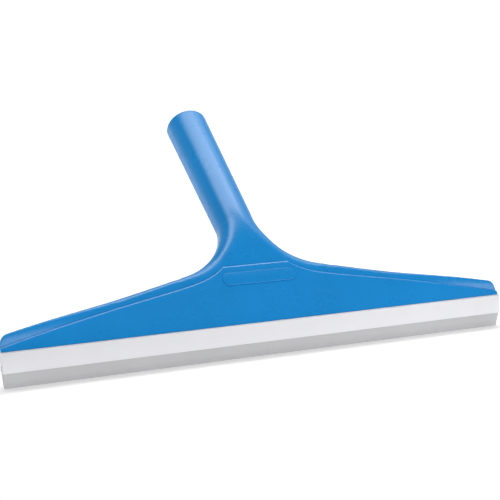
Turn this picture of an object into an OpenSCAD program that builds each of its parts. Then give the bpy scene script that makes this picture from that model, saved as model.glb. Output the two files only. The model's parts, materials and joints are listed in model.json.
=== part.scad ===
// Hand squeegee head: a moulded head with a handle socket, and a blade that slides in endwise.
// Frame: origin at the middle of the wiping edge, +X along the blade, +Y to the back, +Z up.

/* [Blade] */
// Length of the blade
blade_len = 350; // [300:5:400]
// Height of the white carrier strip that shows
carrier_h = 12.8; // [11:0.2:16]
// Height of the soft lip below the carrier
lip_h = 9.7; // [6:0.1:14]
// Thickness of the wiping edge
edge_t = 2.4; // [1.6:0.1:3]
// How far the carrier's face stands in front of the wiping edge's middle
face_fwd = 2.8; // [2.4:0.1:3.4]

/* [Head] */
// Lean of the front plate from the blade's plane, in degrees
plate_lean = 40.5; // [36:0.5:45]
// Wall thickness of the moulding
wall = 2.5; // [2:0.1:3]
// Height of the panel at the middle, up the plate
panel_top = 42.7; // [40:0.5:45]
// Half width of the panel's flat top
panel_half = 23.4; // [20:0.2:26]
// Corner radius at the ends of the rim
end_r = 9.5; // [6:0.5:12]

/* [Socket] */
// Lean of the socket from the blade's plane, in degrees
socket_lean = 58; // [52:1:64]
// Distance from the root of the neck to the mouth, along the axis
socket_len = 167.6; // [150:1:185]
// Outer radius at the mouth
mouth_r = 15.4; // [15:0.1:17]
// Outer radius at the root of the neck
root_r = 13.0; // [12.6:0.1:14]
// Radius of the hole for the handle
bore_r = 12.0; // [11:0.1:12.4]
// Depth of the hole for the handle
bore_len = 95; // [60:5:100]

/* [Fit] */
// Gap all round the blade's rail in the channel
gap = 0.2; // [0.15:0.05:0.3]

/* [Hidden] */

half = blade_len / 2;
blade_h = carrier_h + lip_h;
nominal_half = 175;                // half length that the outline below is drawn for
stretch = half / nominal_half;     // scales the head's outline to the blade's length
plate_y = -0.8;                    // the plate's lower edge, just behind the carrier's face
root_y = 16.7;                     // root of the neck, on the socket's axis
root_z = blade_h + 22;

// The panel's upper edge: level at the middle, a short steep shoulder, then a long fall along the wing
shoulder_u = 60;                   // distance from the middle where the long fall begins
shoulder_drop = 14.2;              // how far the edge is down by then
wing_fall = 0.192;                 // fall of the edge for each mm along the wing
wing_curve = 0.00039;              // how the fall steepens
curve_u = 110;                     // where the curve meets the straight fall again
shoulder_rise = 8.4;               // the part of the drop that the steep shoulder makes
shoulder_len = 11;                 // length over which it fades

// The rim above the panel
rim_neck_lean = 66;                // its lean beside the neck
lean_from = 40;                    // distances between which it comes upright
lean_to = 150;
rim_mid_h = 6.3;                   // its height in the middle of the wing
rim_mid_u = 90;
rim_end_rise = 2;                  // what it gains towards the end
rim_end_run = 80;
rim_neck_rise = 6.5;               // what it gains towards the neck
rim_neck_u = 30;
rim_neck_run = 14;
lap = 1;                           // how far solids run into or past each other before they are cut

// The neck between socket and wings
neck_half = 14;                    // half width where it leaves the socket
neck_end = 48;                     // distance from the middle where it is gone
neck_fade = 30;                    // where it begins to narrow into the rim
neck_round = 24;                   // half width over which its round section flattens
neck_edge_h = 1.3;                 // half thickness of its outer edge
neck_top_t = 60;                   // how far up the axis it runs
neck_root_t = 2;                   // where its underside begins on the axis
neck_low = 0.35;                   // its foot behind the plate, as a share of the panel's height
neck_brow = 0.55;                  // where its top turns down to the plate, as a share of its length
neck_sunk = 0.2;                   // its front edge, below the panel's face
rim_share = 0.3;                   // where it ends inside the rim's thickness
fillet_r = 43;                     // radius in the corner between socket and wing
fillet_t = 55;                     // distance along the axis where that radius begins
socket_start = 38;                 // where the round socket begins inside the neck
core_half = 4.6;                   // half width of each coring pocket in the neck
core_u = 6;                        // distance of each pocket from the middle
core_t = 58;                       // how far up the axis the pockets reach

// The gussets behind the wings
gusset_first = 42;
gusset_pitch = 21;
gusset_last = 168;
gusset_half = 1;                   // half thickness

// The blade's rail: a neck and a wider head
rail_y = 7.6;
rail_neck = 2.2;
rail_head = 4.6;
rail_neck_h = 2.6;
rail_head_h = 2.4;
bar_back = 12.2;                   // back face of the bar that holds the rail
carrier_back = 4.2;                // back face of the carrier, where the lip joins it

// The lip's tongue
tongue_y = 0.7;
tongue_neck = 2.4;
tongue_bulb = 4.4;
tongue_neck_h = 2;
tongue_bulb_h = 2.5;

// The head's bar, along its lower edge
bar_h = 8.2;
bar_chamfer = 2;
bar_set_back = 0.5;                // the bar's front, behind the plate's face
corner_r = 8;                      // back corners in plan
corner_y = 4;                      // centre of those corners

steps = 25;                        // stations on each half of the head

// A point of the plate's own frame, p up the plate and q out of its face, as [y, z]
function on_plate(p, q = 0) = [
    plate_y + p * sin(plate_lean) - q * cos(plate_lean),
    blade_h + p * cos(plate_lean) + q * sin(plate_lean)];

// Height of the panel's upper edge at a distance u from the middle
function crease(u) = u <= panel_half ? panel_top
    : panel_top - shoulder_drop - wing_fall * (u - shoulder_u) - wing_curve * (u - shoulder_u) * (u - curve_u)
        + shoulder_rise * exp(-(u - panel_half) / shoulder_len);

function smooth(a, b, u) = let(t = max(0, min(1, (u - a) / (b - a)))) t * t * (3 - 2 * t);

// Lean and height of the rim above the panel
function rim_lean(u) = rim_neck_lean * (1 - smooth(lean_from, lean_to, u));
function rim_h(u) = rim_mid_h + rim_end_rise * pow((u - rim_mid_u) / rim_end_run, 2)
    + rim_neck_rise * exp(-(max(u, rim_neck_u) - rim_neck_u) / rim_neck_run);

// Drop of the rim where its corner is rounded
function end_drop(u) = let(d = max(0, u - (nominal_half - end_r)))
    end_r - sqrt(max(0, end_r * end_r - d * d));

function rim_dir(u) = [sin(rim_lean(u)), cos(rim_lean(u))];
function rim_back(u) = [cos(rim_lean(u)), -sin(rim_lean(u))];
function rim_top(u) = on_plate(crease(u)) + rim_dir(u) * (rim_h(u) - end_drop(u));

// The socket's axis and its upper side
axis_dir = [sin(socket_lean), cos(socket_lean)];
axis_up = [-cos(socket_lean), sin(socket_lean)];
function on_axis(t, h = 0) = [root_y, root_z] + t * axis_dir + h * axis_up;
function socket_r(t) = root_r + (mouth_r - root_r) * t / socket_len;

// Closed solid through a list of rings with the same number of points
module skin(rings) {
    n = len(rings[0]);
    last = (len(rings) - 1) * n;
    walls = [for (i = [0 : len(rings) - 2], j = [0 : n - 1]) let(k = (j + 1) % n)
        each [[i * n + j, (i + 1) * n + k, i * n + k], [i * n + j, (i + 1) * n + j, (i + 1) * n + k]]];
    caps = [[for (j = [0 : n - 1]) j], [for (j = [n - 1 : -1 : 0]) last + j]];
    polyhedron(points = [for (r = rings, p = r) p], faces = concat(walls, caps), convexity = 6);
}

// Extrudes a [y, z] outline along X between two places
module along_x(x0, x1) {
    translate([x0, 0, 0]) rotate([90, 0, 90]) linear_extrude(x1 - x0) children();
}

module panel() {
    raise = 0.6;
    long = half + lap;
    xs = [for (i = [-steps : steps]) sign(i) * (panel_half + (nominal_half - panel_half) * abs(i) / steps)];
    edge = [for (x = xs) [x * long / nominal_half, crease(abs(x)) + raise]];
    outline = concat([[-long, 0]], edge, [[long, 0]]);
    translate([0, plate_y, blade_h]) rotate([90 - plate_lean, 0, 0])
        translate([0, 0, -wall]) linear_extrude(wall) polygon(outline);
}

// The raised rim along the panel's upper edge, from the end to the neck
module rim(side) {
    foot_drop = 2;
    front_q = -0.6;                // the foot's front and back, both inside the plate
    back_q = -wall + 0.4;
    mid = 100;                     // where the stations are widest apart
    turns = side > 0 ? [for (i = [steps : -1 : 0]) i] : [for (i = [0 : steps]) i];
    skin([for (i = turns)
        let(u = mid + (nominal_half - mid) * cos(180 * i / steps), foot = crease(u) - foot_drop,
            x = side * (u + (i == 0 ? lap : 0)) * stretch, top = rim_top(u))
        [for (p = [on_plate(foot, front_q), on_plate(foot, back_q), top + wall * rim_back(u), top])
            [x, p[0], p[1]]]]);
}

// Half thickness of the neck and the height of its edge, at a distance u from the middle
function neck_h(u) = neck_edge_h
    + (socket_r(neck_fade) - neck_edge_h) * sqrt(max(0, 1 - pow(u / neck_round, 2)));
function neck_t(u) = u < neck_half ? neck_top_t
    : min(neck_top_t, fillet_t - sqrt(pow(fillet_r, 2) - pow(neck_half + fillet_r - u, 2)));

// The neck's section, and the one inside the rim's thickness that it narrows down to
function neck_section(u) = let(foot = crease(u), t = neck_t(u), h = neck_h(u))
    [on_plate(neck_low * foot, -lap), on_axis(neck_root_t, -h), on_axis(t, -h), on_axis(t, h),
        on_axis(neck_brow * t, h), on_plate(foot, -neck_sunk)];
function rim_section(u) = let(foot = crease(u), up = rim_h(u) * rim_dir(u), back = wall * rim_back(u),
        low = on_plate(foot), front = rim_share * back, far = (1 - rim_share) * back)
    [on_plate(0.8 * foot, -0.5 * wall), on_plate(foot - lap, -0.7 * wall), low + 0.6 * up + far,
        low + 0.6 * up + front, low + 0.3 * up + front, on_plate(foot - lap, -lap)];

module neck() {
    count = 14;
    skin([for (i = [-count : count])
        let(x = neck_end * i / count, u = abs(x), w = smooth(neck_fade, neck_end, u))
        [for (p = (1 - w) * neck_section(u) + w * rim_section(u)) [x, p[0], p[1]]]]);
}

// Pockets that core out the underside of the neck, either side of a middle rib
module neck_core() {
    below = -30;                   // well under the neck
    low = on_plate(34, -wall - lap);
    front = on_axis(30, 3);
    end = on_axis(core_t, 8);
    under = on_axis(core_t, below);
    back = on_axis(-20, below);
    for (side = [-1, 1])
        along_x(side * core_u - core_half, side * core_u + core_half)
            polygon([low, front, end, under, back]);
}

// The bar along the lower edge, which holds the blade's rail
module bar() {
    edge = on_plate(0, -bar_set_back);
    top = on_plate(bar_h / cos(plate_lean), -bar_set_back);
    along_x(-half - lap, half + lap) polygon([[edge[0], blade_h - lap], [bar_back, blade_h - lap],
        [bar_back, blade_h + bar_h - bar_chamfer], [bar_back - bar_chamfer, blade_h + bar_h], top, edge]);
}

// The channel for the rail, with a gap all round
module channel_section() {
    translate([rail_y - rail_neck / 2 - gap, blade_h - lap])
        square([rail_neck + 2 * gap, rail_neck_h + 2 * lap]);
    translate([rail_y - rail_head / 2 - gap, blade_h + rail_neck_h - gap])
        square([rail_head + 2 * gap, rail_head_h + 2 * gap]);
}

// Gussets between the bar and the back of the rim
module gussets() {
    inset = 0.7;                   // inside the bar's back
    into_rim = 1.5;                // the tip's distance below the rim's top and behind its face
    low_p = 4;
    low = on_plate(low_p, -lap);
    foot = [bar_back - inset, blade_h + lap];
    shelf = [bar_back - inset, blade_h + bar_h - bar_chamfer];
    for (u = [gusset_first : gusset_pitch : gusset_last], side = [-1, 1]) {
        tip = rim_top(u) + into_rim * (rim_back(u) - rim_dir(u));
        along_x(side * u * stretch - gusset_half, side * u * stretch + gusset_half)
            polygon([low, foot, shelf, tip, on_plate(crease(u), -lap)]);
    }
}

// Plan of the head with its back corners rounded off, clear of the carrier below
module plan_limit() {
    front_y = -20;
    depth = 200;
    translate([0, 0, blade_h + gap]) linear_extrude(depth) {
        translate([-half, front_y]) square([blade_len, corner_y - front_y]);
        translate([-half + corner_r, 0]) square([blade_len - 2 * corner_r, depth]);
        for (side = [-1, 1]) translate([side * (half - corner_r), corner_y]) circle(r = corner_r, $fn = 96);
    }
}

module on_socket_axis(t) {
    translate([0, on_axis(t)[0], on_axis(t)[1]]) rotate([-socket_lean, 0, 0]) children();
}

module head() {
    color("royalblue") difference() {
        union() {
            intersection() {
                union() {
                    panel();
                    rim(-1);
                    rim(1);
                    bar();
                    gussets();
                }
                plan_limit();
            }
            difference() {
                neck();
                neck_core();
            }
            on_socket_axis(socket_start)
                cylinder(h = socket_len - socket_start, r1 = socket_r(socket_start), r2 = mouth_r, $fn = 96);
        }
        on_socket_axis(socket_len - bore_len) cylinder(h = bore_len + lap, r = bore_r, $fn = 96);
        along_x(-half - lap, half + lap) channel_section();
    }
}

// The lip's bulb-shaped tongue, and the groove that it fills in the carrier
module tongue_section() {
    translate([tongue_y - tongue_neck / 2, lip_h - lap]) square([tongue_neck, tongue_neck_h + 2 * lap]);
    translate([tongue_y - tongue_bulb / 2, lip_h + tongue_neck_h]) square([tongue_bulb, tongue_bulb_h]);
}

// The carrier: its upper flange narrows to the blade's thickness, and the rail stands on top
module blade_carrier() {
    flange_back = bar_back - 0.7;
    flange_t = 2.3;
    taper_h = 3.8;                 // height of the straight back below the taper
    chamfer = 0.4;
    rail_z = blade_h + rail_neck_h;
    color("white") along_x(-half, half) difference() {
        polygon([[-face_fwd, lip_h], [-face_fwd, blade_h - chamfer], [-face_fwd + chamfer, blade_h],
            [rail_y - rail_neck / 2, blade_h], [rail_y - rail_neck / 2, rail_z],
            [rail_y - rail_head / 2, rail_z], [rail_y - rail_head / 2, rail_z + rail_head_h],
            [rail_y + rail_head / 2, rail_z + rail_head_h], [rail_y + rail_head / 2, rail_z],
            [rail_y + rail_neck / 2, rail_z], [rail_y + rail_neck / 2, blade_h],
            [flange_back, blade_h], [flange_back, blade_h - flange_t],
            [carrier_back, lip_h + taper_h], [carrier_back, lip_h]]);
        tongue_section();
    }
}

// The lip: it tapers to the wiping edge, and its ends slant in a little
module wiping_lip() {
    clear = 0.1;                   // the lip's faces, inside the carrier's
    top_inset = 0.3;
    edge_inset = 0.9;
    depth = 40;
    color("silver") intersection() {
        along_x(-half, half) union() {
            polygon([[-edge_t / 2, 0], [edge_t / 2, 0], [carrier_back - clear, lip_h],
                [-face_fwd + clear, lip_h]]);
            tongue_section();
        }
        translate([0, depth / 2, 0]) rotate([90, 0, 0]) linear_extrude(depth)
            polygon([[-half + edge_inset, 0], [half - edge_inset, 0], [half - top_inset, lip_h],
                [half - top_inset, blade_h], [-half + top_inset, blade_h], [-half + top_inset, lip_h]]);
    }
}

head();
blade_carrier();
wiping_lip();
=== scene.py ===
"""Window cleaning squeegee: the looks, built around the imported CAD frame.

Lengths are in mm in the shapes and in metres in the studio.
"""
import json
import math

import bmesh
import bpy
import numpy as np
from mathutils import Matrix, Vector


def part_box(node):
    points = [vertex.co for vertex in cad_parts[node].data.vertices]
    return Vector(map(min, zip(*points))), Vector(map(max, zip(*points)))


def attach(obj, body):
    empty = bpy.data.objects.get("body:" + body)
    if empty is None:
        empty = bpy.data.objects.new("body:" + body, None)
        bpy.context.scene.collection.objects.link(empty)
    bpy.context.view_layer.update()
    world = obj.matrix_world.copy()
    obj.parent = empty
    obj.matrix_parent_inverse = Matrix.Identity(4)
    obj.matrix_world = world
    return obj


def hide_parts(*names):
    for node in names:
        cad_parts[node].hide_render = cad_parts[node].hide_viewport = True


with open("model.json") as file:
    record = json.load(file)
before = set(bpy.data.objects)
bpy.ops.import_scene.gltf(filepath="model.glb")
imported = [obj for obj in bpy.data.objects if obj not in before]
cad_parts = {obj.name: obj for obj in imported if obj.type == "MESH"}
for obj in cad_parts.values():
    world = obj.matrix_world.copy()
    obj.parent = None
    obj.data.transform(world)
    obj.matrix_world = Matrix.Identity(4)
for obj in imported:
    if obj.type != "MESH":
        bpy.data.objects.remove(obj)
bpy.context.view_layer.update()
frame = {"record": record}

MM = 0.001


# ---------------------------------------------------------------- sizes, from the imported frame

def mount(name):
    """A mount's axis and its sizes."""
    row = next(m for m in frame["record"]["mounts"] if m["name"] == name)
    return np.array(row["axis"]), row["dims"]


def node_box(name):
    low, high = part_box(name)
    return np.array(low) / MM, np.array(high) / MM


CARRIER_LOW, CARRIER_HIGH = node_box("blade_carrier")
SOCKET_AXIS, SOCKET_DIMS = mount("handle_socket")

HALF = CARRIER_HIGH[0]             # half the blade's length
FACE_Y = CARRIER_LOW[1]            # the carrier's front face
LIP_TOP = CARRIER_LOW[2]           # where the lip meets the carrier
LIP_BOTTOM = node_box("wiping_lip")[0][2]
RAIL_TOP = CARRIER_HIGH[2]
RAIL_HEAD_H = 2.4
RAIL_NECK_H = 2.6
BLADE_H = RAIL_TOP - RAIL_HEAD_H - RAIL_NECK_H
GAP = 0.2                          # between the blade's rail and its channel
RAIL_Y = 7.6
RAIL_NECK = 2.2
RAIL_HEAD = 4.6

PLATE_LEAN = math.radians(40.5)
PLATE_Y = -0.8                     # the plate's lower edge
WALL = 2.5
PANEL_TOP = 42.7                   # the panel's level middle: its height up the plate and its half width
PANEL_HALF = 23.4
BAR_BACK = 12.2                    # the bar along the head's lower edge
BAR_H = 8.2

SOCKET_LEAN = math.atan2(SOCKET_AXIS[1], SOCKET_AXIS[2])
ROOT_Y = 16.7                      # the root of the neck, where the distance along the axis is 0
ROOT_Z = BLADE_H + 22.0
SOCKET_LEN = 167.6
MOUTH_R = 15.4                     # the socket's outer radius at its mouth and at the root
ROOT_R = 13.0
BORE_R = SOCKET_DIMS["r_mm"]
BORE_LEN = SOCKET_DIMS["length_mm"]


# ---------------------------------------------------------------- the head's own curves

def on_plate(p, q=0.0):
    """The y and z of a point p up the leaning plate and q out of its face."""
    s, c = math.sin(PLATE_LEAN), math.cos(PLATE_LEAN)
    return PLATE_Y + p * s - q * c, BLADE_H + p * c + q * s


def to_plate(y, z):
    s, c = math.sin(PLATE_LEAN), math.cos(PLATE_LEAN)
    return (y - PLATE_Y) * s + (z - BLADE_H) * c, -(y - PLATE_Y) * c + (z - BLADE_H) * s


def smoothstep(a, b, u):
    t = np.clip((u - a) / (b - a), 0.0, 1.0)
    return t * t * (3.0 - 2.0 * t)


def crease(u):
    """Height of the panel's upper edge at a distance u from the middle."""
    u = np.asarray(u, float)
    shoulder_u, drop, fall, curve, curve_u = 60.0, 14.2, 0.192, 0.00039, 110.0
    shoulder, shoulder_len = 8.4, 11.0
    long_fall = PANEL_TOP - drop - fall * (u - shoulder_u) - curve * (u - shoulder_u) * (u - curve_u)
    wing = long_fall + shoulder * np.exp(-(np.maximum(u, PANEL_HALF) - PANEL_HALF) / shoulder_len)
    return np.where(u <= PANEL_HALF, PANEL_TOP, wing)


# ---------------------------------------------------------------- distance fields for the moulding

def soft_min(a, b, k):
    h = np.maximum(k - np.abs(a - b), 0.0) / k
    return np.minimum(a, b) - h * h * k * 0.25


def soft_max(a, b, k):
    return -soft_min(-a, -b, k)


def round_max(a, b, r):
    """The overlap of two fields, with an arc of radius r along the edge where they meet."""
    return np.minimum(np.maximum(a, b), -r) + np.hypot(np.maximum(a + r, 0.0), np.maximum(b + r, 0.0))


def rounded_box(coords, low, high, r):
    """Distance to a box with rounded edges, over the coordinates given."""
    outside, inside = 0.0, None
    for c, lo, hi in zip(coords, low, high):
        d = np.abs(c - (lo + hi) / 2) - (hi - lo) / 2 + r
        outside = outside + np.maximum(d, 0.0) ** 2
        inside = d if inside is None else np.maximum(inside, d)
    return np.sqrt(outside) + np.minimum(inside, 0.0) - r


def along_axis(y, z):
    """Distance along the socket's axis and height over it."""
    s, c = math.sin(SOCKET_LEAN), math.cos(SOCKET_LEAN)
    return (y - ROOT_Y) * s + (z - ROOT_Z) * c, -(y - ROOT_Y) * c + (z - ROOT_Z) * s


def socket_radius(t):
    return ROOT_R + (MOUTH_R - ROOT_R) * t / SOCKET_LEN


def blend(a, b, share):
    return a + (b - a) * share


# The outline lies in the moulding's parting plane, through the socket's axis and along the blade.
# In that plane t is the distance up the axis and u the distance from the middle, and h is the height over it.
WING_U, WING_T = 75.0, 6.9         # a point of the wing's upper edge
WING_SLOPE = 0.233
FILLET = 32.6                      # the corner between socket and wing
FILLET_STRETCH = 0.77              # it is longer along the wing than up the socket
END_R = 5.9                        # the wing's end corner
PANEL_STEP = 0.9                   # how far the panel stands proud
PANEL_EDGE = 1.1                   # width and depth of the slope along the panel's upper edge
PANEL_EDGE_DROP = 0.33
CAP_H = 0.5                        # the top of the wing's rim
RIM_ROLL = (3.0, 7.0)              # radius between the rim's wall and its top, by the neck and farther out
RIM_LEAN = (35.0, 16.0)            # lean of the rim's wall, by the neck and at the end
LIP_DEPTH = 5.0                    # how far the rim turns down behind, on the wings and on the neck
NECK_LIP_DEPTH = 9.0
NECK_IN, NECK_OUT = 20.0, 60.0     # distances from the middle between which the neck turns into the wing
GUSSETS = np.arange(42.0, 169.0, 21.0)
GUSSET_HALF = 1.0
CORNER_R = 8.0                     # back corners in plan
POCKETS = ((1.4, 11.0), (13.4, 60.0))   # the hollows under the neck, either side of a rib
POCKET_T = (-14.0, 52.0)


def wing_edge(u):
    return WING_T - WING_SLOPE * (u - WING_U)


def outline(u, t):
    """Distance to the head's outline in the parting plane."""
    flat = 1.0 / math.hypot(1.0, WING_SLOPE)
    side = (u - socket_radius(t)) * FILLET_STRETCH
    top = (t - wing_edge(u)) * flat
    near_side, near_top = np.maximum(FILLET - side, 0.0), np.maximum(FILLET - top, 0.0)
    size = np.hypot(near_side, near_top) + 1e-9
    value = np.maximum(np.minimum(side, top), FILLET) - size
    near_side, near_top = near_side / size, near_top / size
    across = near_side * FILLET_STRETCH + near_top * WING_SLOPE * flat
    slope = np.hypot(across, np.maximum(near_top * flat, 1e-3))
    return round_max(value / slope, u - HALF, END_R)


def front_face(u, y, z):
    """Distance above the head's front: the plate, the rim's upright wall and its cap, and the neck's top."""
    _, q = to_plate(y, z)
    t, h = along_axis(y, z)
    neck = 1.0 - smoothstep(NECK_IN, NECK_OUT + 1.0, u)
    foot_y, foot_z = on_plate(crease(np.minimum(u, HALF)), -PANEL_STEP)
    lean = np.radians(blend(*RIM_LEAN, smoothstep(60.0, 150.0, u)))
    wall = -(y - foot_y) * np.cos(lean) + (z - foot_z) * np.sin(lean)
    cap = h - blend(CAP_H, socket_radius(t), neck)
    rolled = round_max(wall, cap, blend(*RIM_ROLL, smoothstep(50.0, 110.0, u)))
    on_wing = np.minimum(q + PANEL_STEP, rolled)
    on_neck = soft_max(np.minimum(q + PANEL_STEP, wall), cap, 8.0)
    return blend(on_wing, on_neck, neck)


def edge_radius(u, t):
    """Radius between the front and the outline: wide on the neck, small on the rim and least at the ends."""
    on_rim, far_out, at_corner, on_neck = 4.8, 2.5, 0.5, 12.5
    r = blend(on_rim, far_out, smoothstep(90.0, 160.0, u))
    r = blend(r, at_corner, smoothstep(HALF - END_R, HALF, u))
    r = blend(r, on_neck, 1.0 - smoothstep(NECK_IN, NECK_OUT, u))
    return np.minimum(blend(r, socket_radius(t), smoothstep(20.0, 60.0, t)), socket_radius(t))


def gusset(at, u, y, z, q, h):
    """An upright web behind the plate, from the bar up to the rim."""
    near = np.abs(u - at) - GUSSET_HALF
    s, c = math.sin(SOCKET_LEAN), math.cos(SOCKET_LEAN)
    tip_t, below = wing_edge(at) - 3.0, 1.0     # short of the wing's edge and under the rim's top
    tip = (ROOT_Y + tip_t * s + below * c, ROOT_Z + tip_t * c - below * s)
    foot = (BAR_BACK - 0.6, BLADE_H + BAR_H - 2.0)
    run = math.hypot(tip[0] - foot[0], tip[1] - foot[1])
    side = ((y - foot[0]) * (tip[1] - foot[1]) - (z - foot[1]) * (tip[0] - foot[0])) / run
    side = np.maximum(side, y - foot[0] - 3.0 * np.maximum(z - foot[1], 0.0))
    return np.maximum(np.maximum(near, side), np.maximum(q + PANEL_STEP + 1.0, h + below))


def head_field(x, y, z):
    """Signed distance to the moulding without its panel, channel and bore."""
    u = np.abs(x)
    _, q = to_plate(y, z)
    t, h = along_axis(y, z)
    edge = outline(u, t)
    front = front_face(u, y, z)
    outer = round_max(front, edge, edge_radius(u, t))
    # the rim turns down behind, and this fades out where the neck becomes the round socket
    turn_down = blend(LIP_DEPTH, NECK_LIP_DEPTH, 1.0 - smoothstep(NECK_IN, NECK_OUT, u))
    turn_down = blend(turn_down, -2.0, smoothstep(28.0, 58.0, t))
    sheet = np.maximum(-(outer + WALL), soft_min(-(front + WALL), -(h + turn_down), 1.5))
    socket = soft_max(np.hypot(x, h) - socket_radius(t), -8.0 - t, 4.0)
    body = soft_min(sheet, socket, 8.0)

    bar = rounded_box((y, z), (-12.0, BLADE_H + GAP), (BAR_BACK, BLADE_H + BAR_H), 0.8)
    plan = rounded_box((u, y), (-HALF, -40.0), (HALF, BAR_BACK), CORNER_R)
    back = soft_max(bar, plan, 1.0)
    for at in GUSSETS:
        back = soft_min(back, gusset(at, u, y, z, q, h), 1.2)
    body = np.maximum(soft_min(body, back, 2.0), outer)

    # the neck is hollow from below, with a rib in the middle and one under each side of the socket
    for low_u, high_u in POCKETS:
        pocket = rounded_box((u, t), (low_u, POCKET_T[0]), (high_u, POCKET_T[1]), 3.0)
        pocket = np.maximum(soft_max(pocket, outer + 3.0, 3.0), BLADE_H + BAR_H - 1.0 - z)
        body = soft_max(body, -pocket, 1.2)
    body = soft_max(body, t - SOCKET_LEN, 1.6)
    return np.maximum(body, BLADE_H + GAP - z)


# ---------------------------------------------------------------- meshing a distance field

STEP = 0.8                         # the grid's spacing
BLOCK = 4                          # grid steps along a block of the coarse first pass


def sample_field(field, low, high):
    """The field on a grid: every point of each block near the surface, and far values elsewhere."""
    counts = [int(math.ceil((hi - lo) / STEP / BLOCK)) * BLOCK + 1 for lo, hi in zip(low, high)]
    axes = [lo + STEP * np.arange(n) for lo, n in zip(low, counts)]
    centres = [a[:-1:BLOCK] + STEP * BLOCK / 2 for a in axes]
    coarse = field(*np.meshgrid(*centres, indexing="ij"))
    values = np.repeat(np.repeat(np.repeat(coarse, BLOCK, 0), BLOCK, 1), BLOCK, 2)
    values = np.pad(values, ((0, 1), (0, 1), (0, 1)), mode="edge")
    near = np.abs(coarse) < STEP * BLOCK * 2.2
    mask = np.zeros(values.shape, bool)
    big = np.repeat(np.repeat(np.repeat(near, BLOCK, 0), BLOCK, 1), BLOCK, 2)
    for shift in np.ndindex(2, 2, 2):
        part = tuple(slice(s, s + n) for s, n in zip(shift, big.shape))
        mask[part] |= big
    i, j, k = np.nonzero(mask)
    values[i, j, k] = field(axes[0][i], axes[1][j], axes[2][k])
    return values, axes


def surface_net(values, axes):
    """Quads around the zero surface of a sampled field, one vertex to a cell."""
    inside = values < 0
    corners = [tuple(slice(s, s - 1 or None) for s in c) for c in np.ndindex(2, 2, 2)]
    total = sum(inside[c].astype(np.int8) for c in corners)
    cells = np.argwhere((total > 0) & (total < 8))
    index = np.full(total.shape, -1, np.int64)
    index[tuple(cells.T)] = np.arange(len(cells))
    place, weight = np.zeros((len(cells), 3)), np.zeros(len(cells))
    for a in np.ndindex(2, 2, 2):
        for axis in range(3):
            if a[axis]:
                continue
            b = tuple(v + (n == axis) for n, v in enumerate(a))
            fa = values[tuple((cells + a).T)]
            fb = values[tuple((cells + b).T)]
            cross = (fa < 0) != (fb < 0)
            share = np.where(cross, fa / np.where(cross, fa - fb, 1.0), 0.0)
            point = np.array(a, float) + share[:, None] * (np.array(b) - np.array(a))
            place += np.where(cross[:, None], point, 0.0)
            weight += cross
    place = cells + place / weight[:, None]
    verts = np.stack([ax[0] + STEP * place[:, n] for n, ax in enumerate(axes)], 1)
    quads = []
    for axis in range(3):
        first = [slice(1, -1)] * 3
        second = [slice(1, -1)] * 3
        first[axis], second[axis] = slice(0, -1), slice(1, None)
        a, b = inside[tuple(first)], inside[tuple(second)]
        at = np.argwhere(a != b)
        flip = b[tuple(at.T)]
        for n in range(3):
            if n != axis:
                at[:, n] += 1
        o1, o2 = [n for n in range(3) if n != axis]
        d1, d2 = np.eye(3, dtype=int)[o1], np.eye(3, dtype=int)[o2]
        ring = [at - d1 - d2, at - d2, at, at - d1]
        quad = np.stack([index[tuple(r.T)] for r in ring], 1)
        turn = flip if axis != 1 else ~flip
        quad[turn] = quad[turn][:, ::-1]
        quads.append(quad)
    return verts, np.concatenate(quads)


def project(field, verts, rounds):
    """Moves the vertices onto the zero surface."""
    e = 0.05                       # half the distance over which the slope is taken
    for _ in range(rounds):
        x, y, z = verts.T
        f = field(x, y, z)
        grad = np.stack([field(x + e, y, z) - field(x - e, y, z),
                         field(x, y + e, z) - field(x, y - e, z),
                         field(x, y, z + e) - field(x, y, z - e)], 1) / (2 * e)
        size = np.maximum((grad ** 2).sum(1), 0.2)
        move = -(f / size)[:, None] * grad
        length = np.linalg.norm(move, axis=1, keepdims=True)
        verts = verts + move * np.minimum(1.0, 0.5 * STEP / np.maximum(length, 1e-9))
    return verts


def relax(verts, quads, amount):
    """One pass of smoothing, each vertex towards the mean of its neighbours."""
    total, count = np.zeros_like(verts), np.zeros(len(verts))
    for n in range(4):
        a, b = quads[:, n], quads[:, (n + 1) % 4]
        for i, j in ((a, b), (b, a)):
            for axis in range(3):
                total[:, axis] += np.bincount(i, verts[j, axis], len(verts))
            count += np.bincount(i, minlength=len(verts))
    return verts + amount * (total / count[:, None] - verts)


def new_object(name, verts, faces):
    """A mesh object from points in mm."""
    mesh = bpy.data.meshes.new(name)
    mesh.from_pydata((np.asarray(verts, float) * MM).tolist(), [], [list(map(int, f)) for f in faces])
    mesh.update()
    obj = bpy.data.objects.new(name, mesh)
    bpy.context.scene.collection.objects.link(obj)
    return obj


def clean_normals(obj):
    bm = bmesh.new()
    bm.from_mesh(obj.data)
    bmesh.ops.recalc_face_normals(bm, faces=bm.faces)
    bm.to_mesh(obj.data)
    bm.free()


def apply_modifiers(obj):
    depsgraph = bpy.context.evaluated_depsgraph_get()
    mesh = bpy.data.meshes.new_from_object(obj.evaluated_get(depsgraph))
    obj.modifiers.clear()
    old, obj.data = obj.data, mesh
    bpy.data.meshes.remove(old)


def bevel(obj, width, segments=3, angle=30.0):
    mod = obj.modifiers.new("bevel", "BEVEL")
    mod.width = width * MM
    mod.segments = segments
    mod.limit_method = "ANGLE"
    mod.angle_limit = math.radians(angle)
    mod.miter_outer = "MITER_ARC"
    apply_modifiers(obj)


def combine(obj, other, how):
    """Joins, cuts or intersects obj with other, and deletes other."""
    mod = obj.modifiers.new("combine", "BOOLEAN")
    mod.operation = how
    mod.solver = "MANIFOLD"
    mod.object = other
    apply_modifiers(obj)
    mesh = other.data
    bpy.data.objects.remove(other)
    bpy.data.meshes.remove(mesh)


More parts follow.
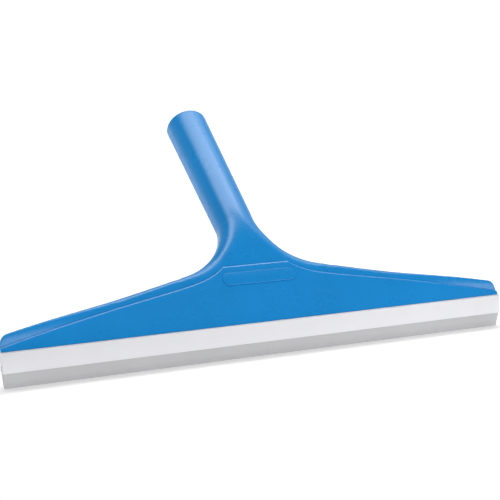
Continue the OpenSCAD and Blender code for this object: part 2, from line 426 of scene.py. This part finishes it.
def triangulate(obj):
    """Cuts each face with more than four corners into triangles, so that none with many corners folds over
    itself.
    """
    bm = bmesh.new()
    bm.from_mesh(obj.data)
    bmesh.ops.triangulate(bm, faces=[f for f in bm.faces if len(f.verts) > 4], ngon_method="BEAUTY")
    bm.to_mesh(obj.data)
    bm.free()


def extrude_x(name, outline, xs):
    """A closed bar along X with a y, z outline, with a ring of points at each x."""
    n = len(outline)
    verts = [(x, y, z) for x in xs for y, z in outline]
    faces = [[i * n + j, i * n + (j + 1) % n, (i + 1) * n + (j + 1) % n, (i + 1) * n + j]
             for i in range(len(xs) - 1) for j in range(n)]
    faces += [list(range(n))[::-1], [(len(xs) - 1) * n + j for j in range(n)]]
    obj = new_object(name, verts, faces)
    clean_normals(obj)
    return obj


# ---------------------------------------------------------------- the head

PAST_END = 9                       # how far cutters run past the head's ends


def head_body():
    margin = 3.2
    low = (-HALF - margin, -5.0, BLADE_H - 2.4)
    high = (HALF + margin, 170.0, 150.0)
    values, axes = sample_field(head_field, low, high)
    verts, quads = surface_net(values, axes)
    for _ in range(2):
        verts = relax(project(head_field, verts, 1), quads, 0.4)
    verts = project(head_field, verts, 2)
    obj = new_object("head_moulding", verts, quads)
    clean_normals(obj)
    return obj


def panel():
    """The flat raised panel on the front, with a small radius round its edge and a sharp foot."""
    wing = PANEL_HALF + (HALF - PANEL_HALF) * np.linspace(0, 1, 60) ** 1.5
    us = np.concatenate([np.linspace(0, PANEL_HALF, 8)[:-1], wing])
    xs = np.concatenate([-us[:0:-1], us])
    tops = crease(np.abs(xs))
    verts, n = [], len(xs) + 2
    low = -4.0                     # below the foot, where the panel is cut level
    for q, inset in ((0.0, PANEL_EDGE), (-PANEL_EDGE_DROP, 0.0), (-WALL, 0.0)):
        ring = [(-HALF, low)] + list(zip(xs, tops - inset)) + [(HALF, low)]
        verts += [(x, *on_plate(p, q)) for x, p in ring]
    faces = [list(range(n))[::-1], list(range(2 * n, 3 * n))]
    faces += [[k + j, k + (j + 1) % n, k + n + (j + 1) % n, k + n + j] for k in (0, n) for j in range(n)]
    obj = new_object("panel", verts, faces)
    clean_normals(obj)
    bevel(obj, 0.2, 2, 10.0)
    foot, reach = BLADE_H + GAP, 20
    square = [(-reach, foot - reach), (reach, foot - reach), (reach, foot), (-reach, foot)]
    combine(obj, extrude_x("below", square, [-HALF - PAST_END, HALF + PAST_END]), "DIFFERENCE")
    return obj


def badge():
    """A plain raised plaque on the panel, with nothing on it."""
    half_w, low, high, r, rise = 26.0, 28.5, 37.5, 4.45, 0.5
    ring = []
    for cx, cp, start in ((half_w - r, high - r, 0), (-half_w + r, high - r, 90),
                          (-half_w + r, low + r, 180), (half_w - r, low + r, 270)):
        turns = [math.radians(start + a) for a in range(0, 91, 10)]
        ring += [(cx + r * math.cos(a), cp + r * math.sin(a)) for a in turns]
    n = len(ring)
    verts = [(x, *on_plate(p, q)) for q in (-1.0, rise) for x, p in ring]
    faces = [list(range(n))[::-1], list(range(n, 2 * n))]
    faces += [[j, (j + 1) % n, n + (j + 1) % n, n + j] for j in range(n)]
    obj = new_object("badge", verts, faces)
    clean_normals(obj)
    bevel(obj, 0.3, 3)
    return obj


def channel_cutter():
    a, b = RAIL_NECK / 2 + GAP, RAIL_HEAD / 2 + GAP
    z0, z1, z2 = BLADE_H - 3, BLADE_H + RAIL_NECK_H - GAP, BLADE_H + RAIL_NECK_H + RAIL_HEAD_H + GAP
    outline = [(RAIL_Y - a, z0), (RAIL_Y + a, z0), (RAIL_Y + a, z1), (RAIL_Y + b, z1), (RAIL_Y + b, z2),
               (RAIL_Y - b, z2), (RAIL_Y - b, z1), (RAIL_Y - a, z1)]
    return extrude_x("channel", outline, [-HALF - PAST_END, HALF + PAST_END])


def bore_cutter():
    """The handle's hole: a straight wall, a rounded floor edge and a lead-in at the mouth."""
    past = BORE_LEN + 4
    profile = [(0.0, 0.0), (BORE_R - 1.0, 0.0), (BORE_R - 0.3, 0.3), (BORE_R, 1.0),
               (BORE_R, BORE_LEN - 1.2), (BORE_R + 0.2, BORE_LEN - 0.5), (BORE_R + 1.0, BORE_LEN + 0.6),
               (BORE_R + 1.0, past), (0.0, past)]
    sides = 128
    s, c = math.sin(SOCKET_LEAN), math.cos(SOCKET_LEAN)
    start = SOCKET_LEN - BORE_LEN
    verts = []
    for r, t in profile:
        along = start + t
        for k in range(sides if r else 1):
            a = 2 * math.pi * k / sides
            up = r * math.sin(a)
            verts.append((r * math.cos(a), ROOT_Y + along * s - up * c, ROOT_Z + along * c + up * s))
    faces, last = [], len(verts) - 1
    for k in range(sides):
        k2 = (k + 1) % sides
        faces.append([0, 1 + k2, 1 + k])
        for i in range(len(profile) - 3):
            a = 1 + i * sides
            faces.append([a + k, a + k2, a + sides + k2, a + sides + k])
        a = 1 + (len(profile) - 3) * sides
        faces.append([a + k, a + k2, last])
    obj = new_object("bore", verts, faces)
    clean_normals(obj)
    return obj


def build_head():
    obj = head_body()
    combine(obj, panel(), "UNION")
    combine(obj, badge(), "UNION")
    combine(obj, channel_cutter(), "DIFFERENCE")
    combine(obj, bore_cutter(), "DIFFERENCE")
    triangulate(obj)
    obj.name = "head_shell"
    return obj


# ---------------------------------------------------------------- the blade

BLADE_BACK = 4.2                   # the carrier's back face, where the lip joins it


def tongue(extra):
    """The outline of the lip's tongue, or with some extra all round the groove for it."""
    mid, neck, bulb = 0.7, 1.2 + extra, 2.2 + extra
    z1, z2 = LIP_TOP + 2, LIP_TOP + 4.5 + extra
    return [(mid - neck, LIP_TOP), (mid - neck, z1), (mid - bulb, z1), (mid - bulb, z2),
            (mid + bulb, z2), (mid + bulb, z1), (mid + neck, z1), (mid + neck, LIP_TOP)]


def build_carrier():
    a, b = RAIL_NECK / 2, RAIL_HEAD / 2
    z1, z2 = BLADE_H + RAIL_NECK_H, RAIL_TOP
    back = CARRIER_HIGH[1]
    outline = [(FACE_Y, LIP_TOP), (FACE_Y, BLADE_H), (RAIL_Y - a, BLADE_H), (RAIL_Y - a, z1),
               (RAIL_Y - b, z1), (RAIL_Y - b, z2), (RAIL_Y + b, z2), (RAIL_Y + b, z1),
               (RAIL_Y + a, z1), (RAIL_Y + a, BLADE_H),
               (back, BLADE_H), (back, BLADE_H - 2.3), (BLADE_BACK, LIP_TOP + 3.8), (BLADE_BACK, LIP_TOP)]
    outline += tongue(0.03)[::-1]
    obj = extrude_x("carrier_strip", outline, [-HALF, HALF])
    bevel(obj, 0.3, 3)
    return obj


def build_lip():
    edge, top, step = 1.2, LIP_TOP - 0.02, 10.0
    top_inset, edge_inset = 0.3, 0.6
    outline = [(-edge, LIP_BOTTOM), (edge, LIP_BOTTOM), (BLADE_BACK - 0.2, top), (1.9, top)]
    outline += tongue(-0.02)[::-1][1:-1]
    outline += [(-0.5, top), (FACE_Y + 0.12, top)]
    obj = extrude_x("lip_strip", outline, np.linspace(-HALF, HALF, int(round(2 * HALF / step)) + 1))
    for v in obj.data.vertices:    # the ends slant in towards the edge
        x, z = v.co.x / MM, v.co.z / MM
        if abs(x) > HALF - 0.01:
            v.co.x = math.copysign(HALF - top_inset - edge_inset * max(0.0, 1 - z / LIP_TOP), x) * MM
    bevel(obj, 0.25, 2)
    return obj


# ---------------------------------------------------------------- materials

def node(tree, kind, **inputs):
    """A new node with some of its inputs set."""
    n = tree.nodes.new(kind)
    for key, value in inputs.items():
        n.inputs[key].default_value = value
    return n


def material(name, colour, change, roughness, spread, grain, depth, streak=None):
    """Moulded or extruded plastic: soft colour change, uneven gloss, fine grain and, if asked, draw lines."""
    mat = bpy.data.materials.new(name)
    mat.use_nodes = True
    tree = mat.node_tree
    link = tree.links.new
    shader = tree.nodes["Principled BSDF"]
    coords = tree.nodes.new("ShaderNodeTexCoord").outputs["Object"]

    cloud = node(tree, "ShaderNodeTexNoise", Scale=14.0, Detail=3.0, Roughness=0.55)
    link(coords, cloud.inputs["Vector"])
    tint = tree.nodes.new("ShaderNodeValToRGB")
    stops = tint.color_ramp.elements
    stops[0].position, stops[1].position = 0.3, 0.7
    stops[0].color = (*(c * (1 - change) for c in colour), 1)
    stops[1].color = (*(c * (1 + change) for c in colour), 1)
    stops.new(0.5).color = (*colour, 1)
    link(cloud.outputs["Fac"], tint.inputs["Fac"])
    link(tint.outputs["Color"], shader.inputs["Base Color"])

    gloss = node(tree, "ShaderNodeTexNoise", Scale=60.0, Detail=4.0, Roughness=0.6)
    link(coords, gloss.inputs["Vector"])
    rough = node(tree, "ShaderNodeMapRange")
    rough.inputs["To Min"].default_value = roughness - spread
    rough.inputs["To Max"].default_value = roughness + spread
    link(gloss.outputs["Fac"], rough.inputs["Value"])
    link(rough.outputs["Result"], shader.inputs["Roughness"])

    fine = node(tree, "ShaderNodeTexNoise", Scale=grain, Detail=2.0, Roughness=0.6)
    link(coords, fine.inputs["Vector"])
    height = fine.outputs["Fac"]
    if streak:
        stretch = tree.nodes.new("ShaderNodeMapping")
        stretch.inputs["Scale"].default_value = streak
        link(coords, stretch.inputs["Vector"])
        lines = node(tree, "ShaderNodeTexNoise", Scale=1.0, Detail=3.0, Roughness=0.5)
        link(stretch.outputs["Vector"], lines.inputs["Vector"])
        add = tree.nodes.new("ShaderNodeMath")
        add.operation = "ADD"
        link(height, add.inputs[0])
        link(lines.outputs["Fac"], add.inputs[1])
        height = add.outputs["Value"]
    bump = tree.nodes.new("ShaderNodeBump")
    bump.inputs["Strength"].default_value = 1.0
    bump.inputs["Distance"].default_value = depth
    link(height, bump.inputs["Height"])
    link(bump.outputs["Normal"], shader.inputs["Normal"])
    return mat


def shade(obj, mat):
    """One material, smooth but for edges sharper than 40 degrees."""
    obj.data.materials.clear()
    obj.data.materials.append(mat)
    obj.data.shade_smooth()
    obj.data.set_sharp_from_angle(angle=math.radians(40))


# ---------------------------------------------------------------- floor, light and camera

def grey_ramp(tree, stops):
    """A ramp through levels of grey, from (place, level) pairs."""
    ramp = tree.nodes.new("ShaderNodeValToRGB")
    elements = ramp.color_ramp.elements
    while len(elements) < len(stops):
        elements.new(0.5)
    for element, (place, level) in zip(elements, stops):
        element.position = place
        element.color = (level, level, level, 1.0)
    return ramp


def floor_paper():
    """White paper with a glow that grows away from the object, so that it stays white to the horizon."""
    mat = bpy.data.materials.new("floor_paper")
    mat.use_nodes = True
    tree = mat.node_tree
    shader = tree.nodes["Principled BSDF"]
    shader.inputs["Base Color"].default_value = (0.85, 0.85, 0.85, 1)
    shader.inputs["Roughness"].default_value = 0.9
    shader.inputs["Specular IOR Level"].default_value = 0.1
    coords = tree.nodes.new("ShaderNodeTexCoord").outputs["Object"]
    reach = tree.nodes.new("ShaderNodeVectorMath")
    reach.operation = "LENGTH"
    tree.links.new(coords, reach.inputs[0])
    glow = tree.nodes.new("ShaderNodeMapRange")
    glow.inputs["From Min"].default_value = 0.3
    glow.inputs["From Max"].default_value = 2.5
    glow.inputs["To Min"].default_value = 0.35
    glow.inputs["To Max"].default_value = 1.0
    tree.links.new(reach.outputs["Value"], glow.inputs["Value"])
    shader.inputs["Emission Color"].default_value = (1, 1, 1, 1)
    tree.links.new(glow.outputs["Result"], shader.inputs["Emission Strength"])
    return mat


def studio():
    scene = bpy.context.scene
    scene.view_settings.view_transform = "Standard"
    world = bpy.data.worlds.new("studio")
    scene.world = world
    world.use_nodes = True
    tree = world.node_tree
    background = tree.nodes["Background"]
    background.inputs["Strength"].default_value = 1.0
    # white at the horizon and dimmer overhead
    coords = tree.nodes.new("ShaderNodeTexCoord").outputs["Generated"]
    split = tree.nodes.new("ShaderNodeSeparateXYZ")
    tree.links.new(coords, split.inputs["Vector"])
    levels = grey_ramp(tree, ((0.0, 1.1), (0.02, 1.0), (0.12, 0.6), (0.4, 0.3), (0.7, 0.12), (1.0, 0.1)))
    tree.links.new(split.outputs["Z"], levels.inputs["Fac"])
    tree.links.new(levels.outputs["Color"], background.inputs["Color"])

    bpy.ops.mesh.primitive_plane_add(size=200.0, location=(0, 0, LIP_BOTTOM * MM))
    floor = bpy.context.object
    floor.name = "floor"
    floor.data.materials.append(floor_paper())

    centre = (0.0, 0.04, 0.05)

    def area(name, direction, distance, size, radiance):
        """A soft light that shines on the object from a direction, as bright as it is asked to look."""
        data = bpy.data.lights.new(name, "AREA")
        data.shape = "RECTANGLE"
        data.size, data.size_y = size
        data.energy = radiance * math.pi * size[0] * size[1]
        obj = bpy.data.objects.new(name, data)
        scene.collection.objects.link(obj)
        obj.location = Vector(centre) + Vector(direction).normalized() * distance
        obj.rotation_euler = (-Vector(direction)).to_track_quat("-Z", "Y").to_euler()
        obj.visible_camera = False

    area("top_strip", (0.0, 0.22, 0.97), 1.3, (1.6, 0.4), 5.5)
    area("back_fill", (0.38, 0.5, 0.78), 1.5, (1.5, 0.9), 1.4)
    area("front_fill", (0.5, -1.0, 0.12), 1.7, (1.6, 0.7), 3.1)


def camera():
    """The camera, 23 degrees round to the left and 12 up."""
    turn, rise, distance, lens = math.radians(23.14), math.radians(12.24), 726.2, 80.92
    aim_right, aim_up = 15.34, -46.42     # where the carrier's top edge lies, off the camera's axis
    right = Vector((math.cos(turn), -math.sin(turn), 0))
    up = Vector((math.sin(rise) * math.sin(turn), math.sin(rise) * math.cos(turn), math.cos(rise)))
    forward = Vector((math.cos(rise) * math.sin(turn), math.cos(rise) * math.cos(turn), -math.sin(rise)))
    aim = Vector((0, FACE_Y, BLADE_H))
    place = aim - (right * aim_right + up * aim_up + forward * distance)
    data = bpy.data.cameras.new("camera")
    data.sensor_width = 36.0
    data.lens = lens
    data.clip_start = 0.01
    obj = bpy.data.objects.new("camera", data)
    obj.matrix_world = Matrix.Translation(place * MM) @ Matrix((right, up, -forward)).transposed().to_4x4()
    bpy.context.scene.collection.objects.link(obj)
    bpy.context.scene.camera = obj


# ---------------------------------------------------------------- build

camera()
studio()

blue = material("blue_polypropylene", (0.006, 0.265, 0.68), 0.05, 0.28, 0.04, 900.0, 0.00004)
white = material("white_plastic", (0.80, 0.80, 0.83), 0.025, 0.42, 0.05, 700.0, 0.00003, (3.0, 900.0, 900.0))
grey = material("grey_rubber", (0.53, 0.53, 0.545), 0.04, 0.55, 0.06, 1200.0, 0.00003, (2.0, 700.0, 700.0))

for piece, mat, body, slot, cad_node in (
        (build_head(), blue, "head", "head_plastic", "head"),
        (build_carrier(), white, "blade", "carrier_plastic", "blade_carrier"),
        (build_lip(), grey, "blade", "lip_rubber", "wiping_lip")):
    shade(piece, mat)
    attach(piece, body)
    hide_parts(cad_node)
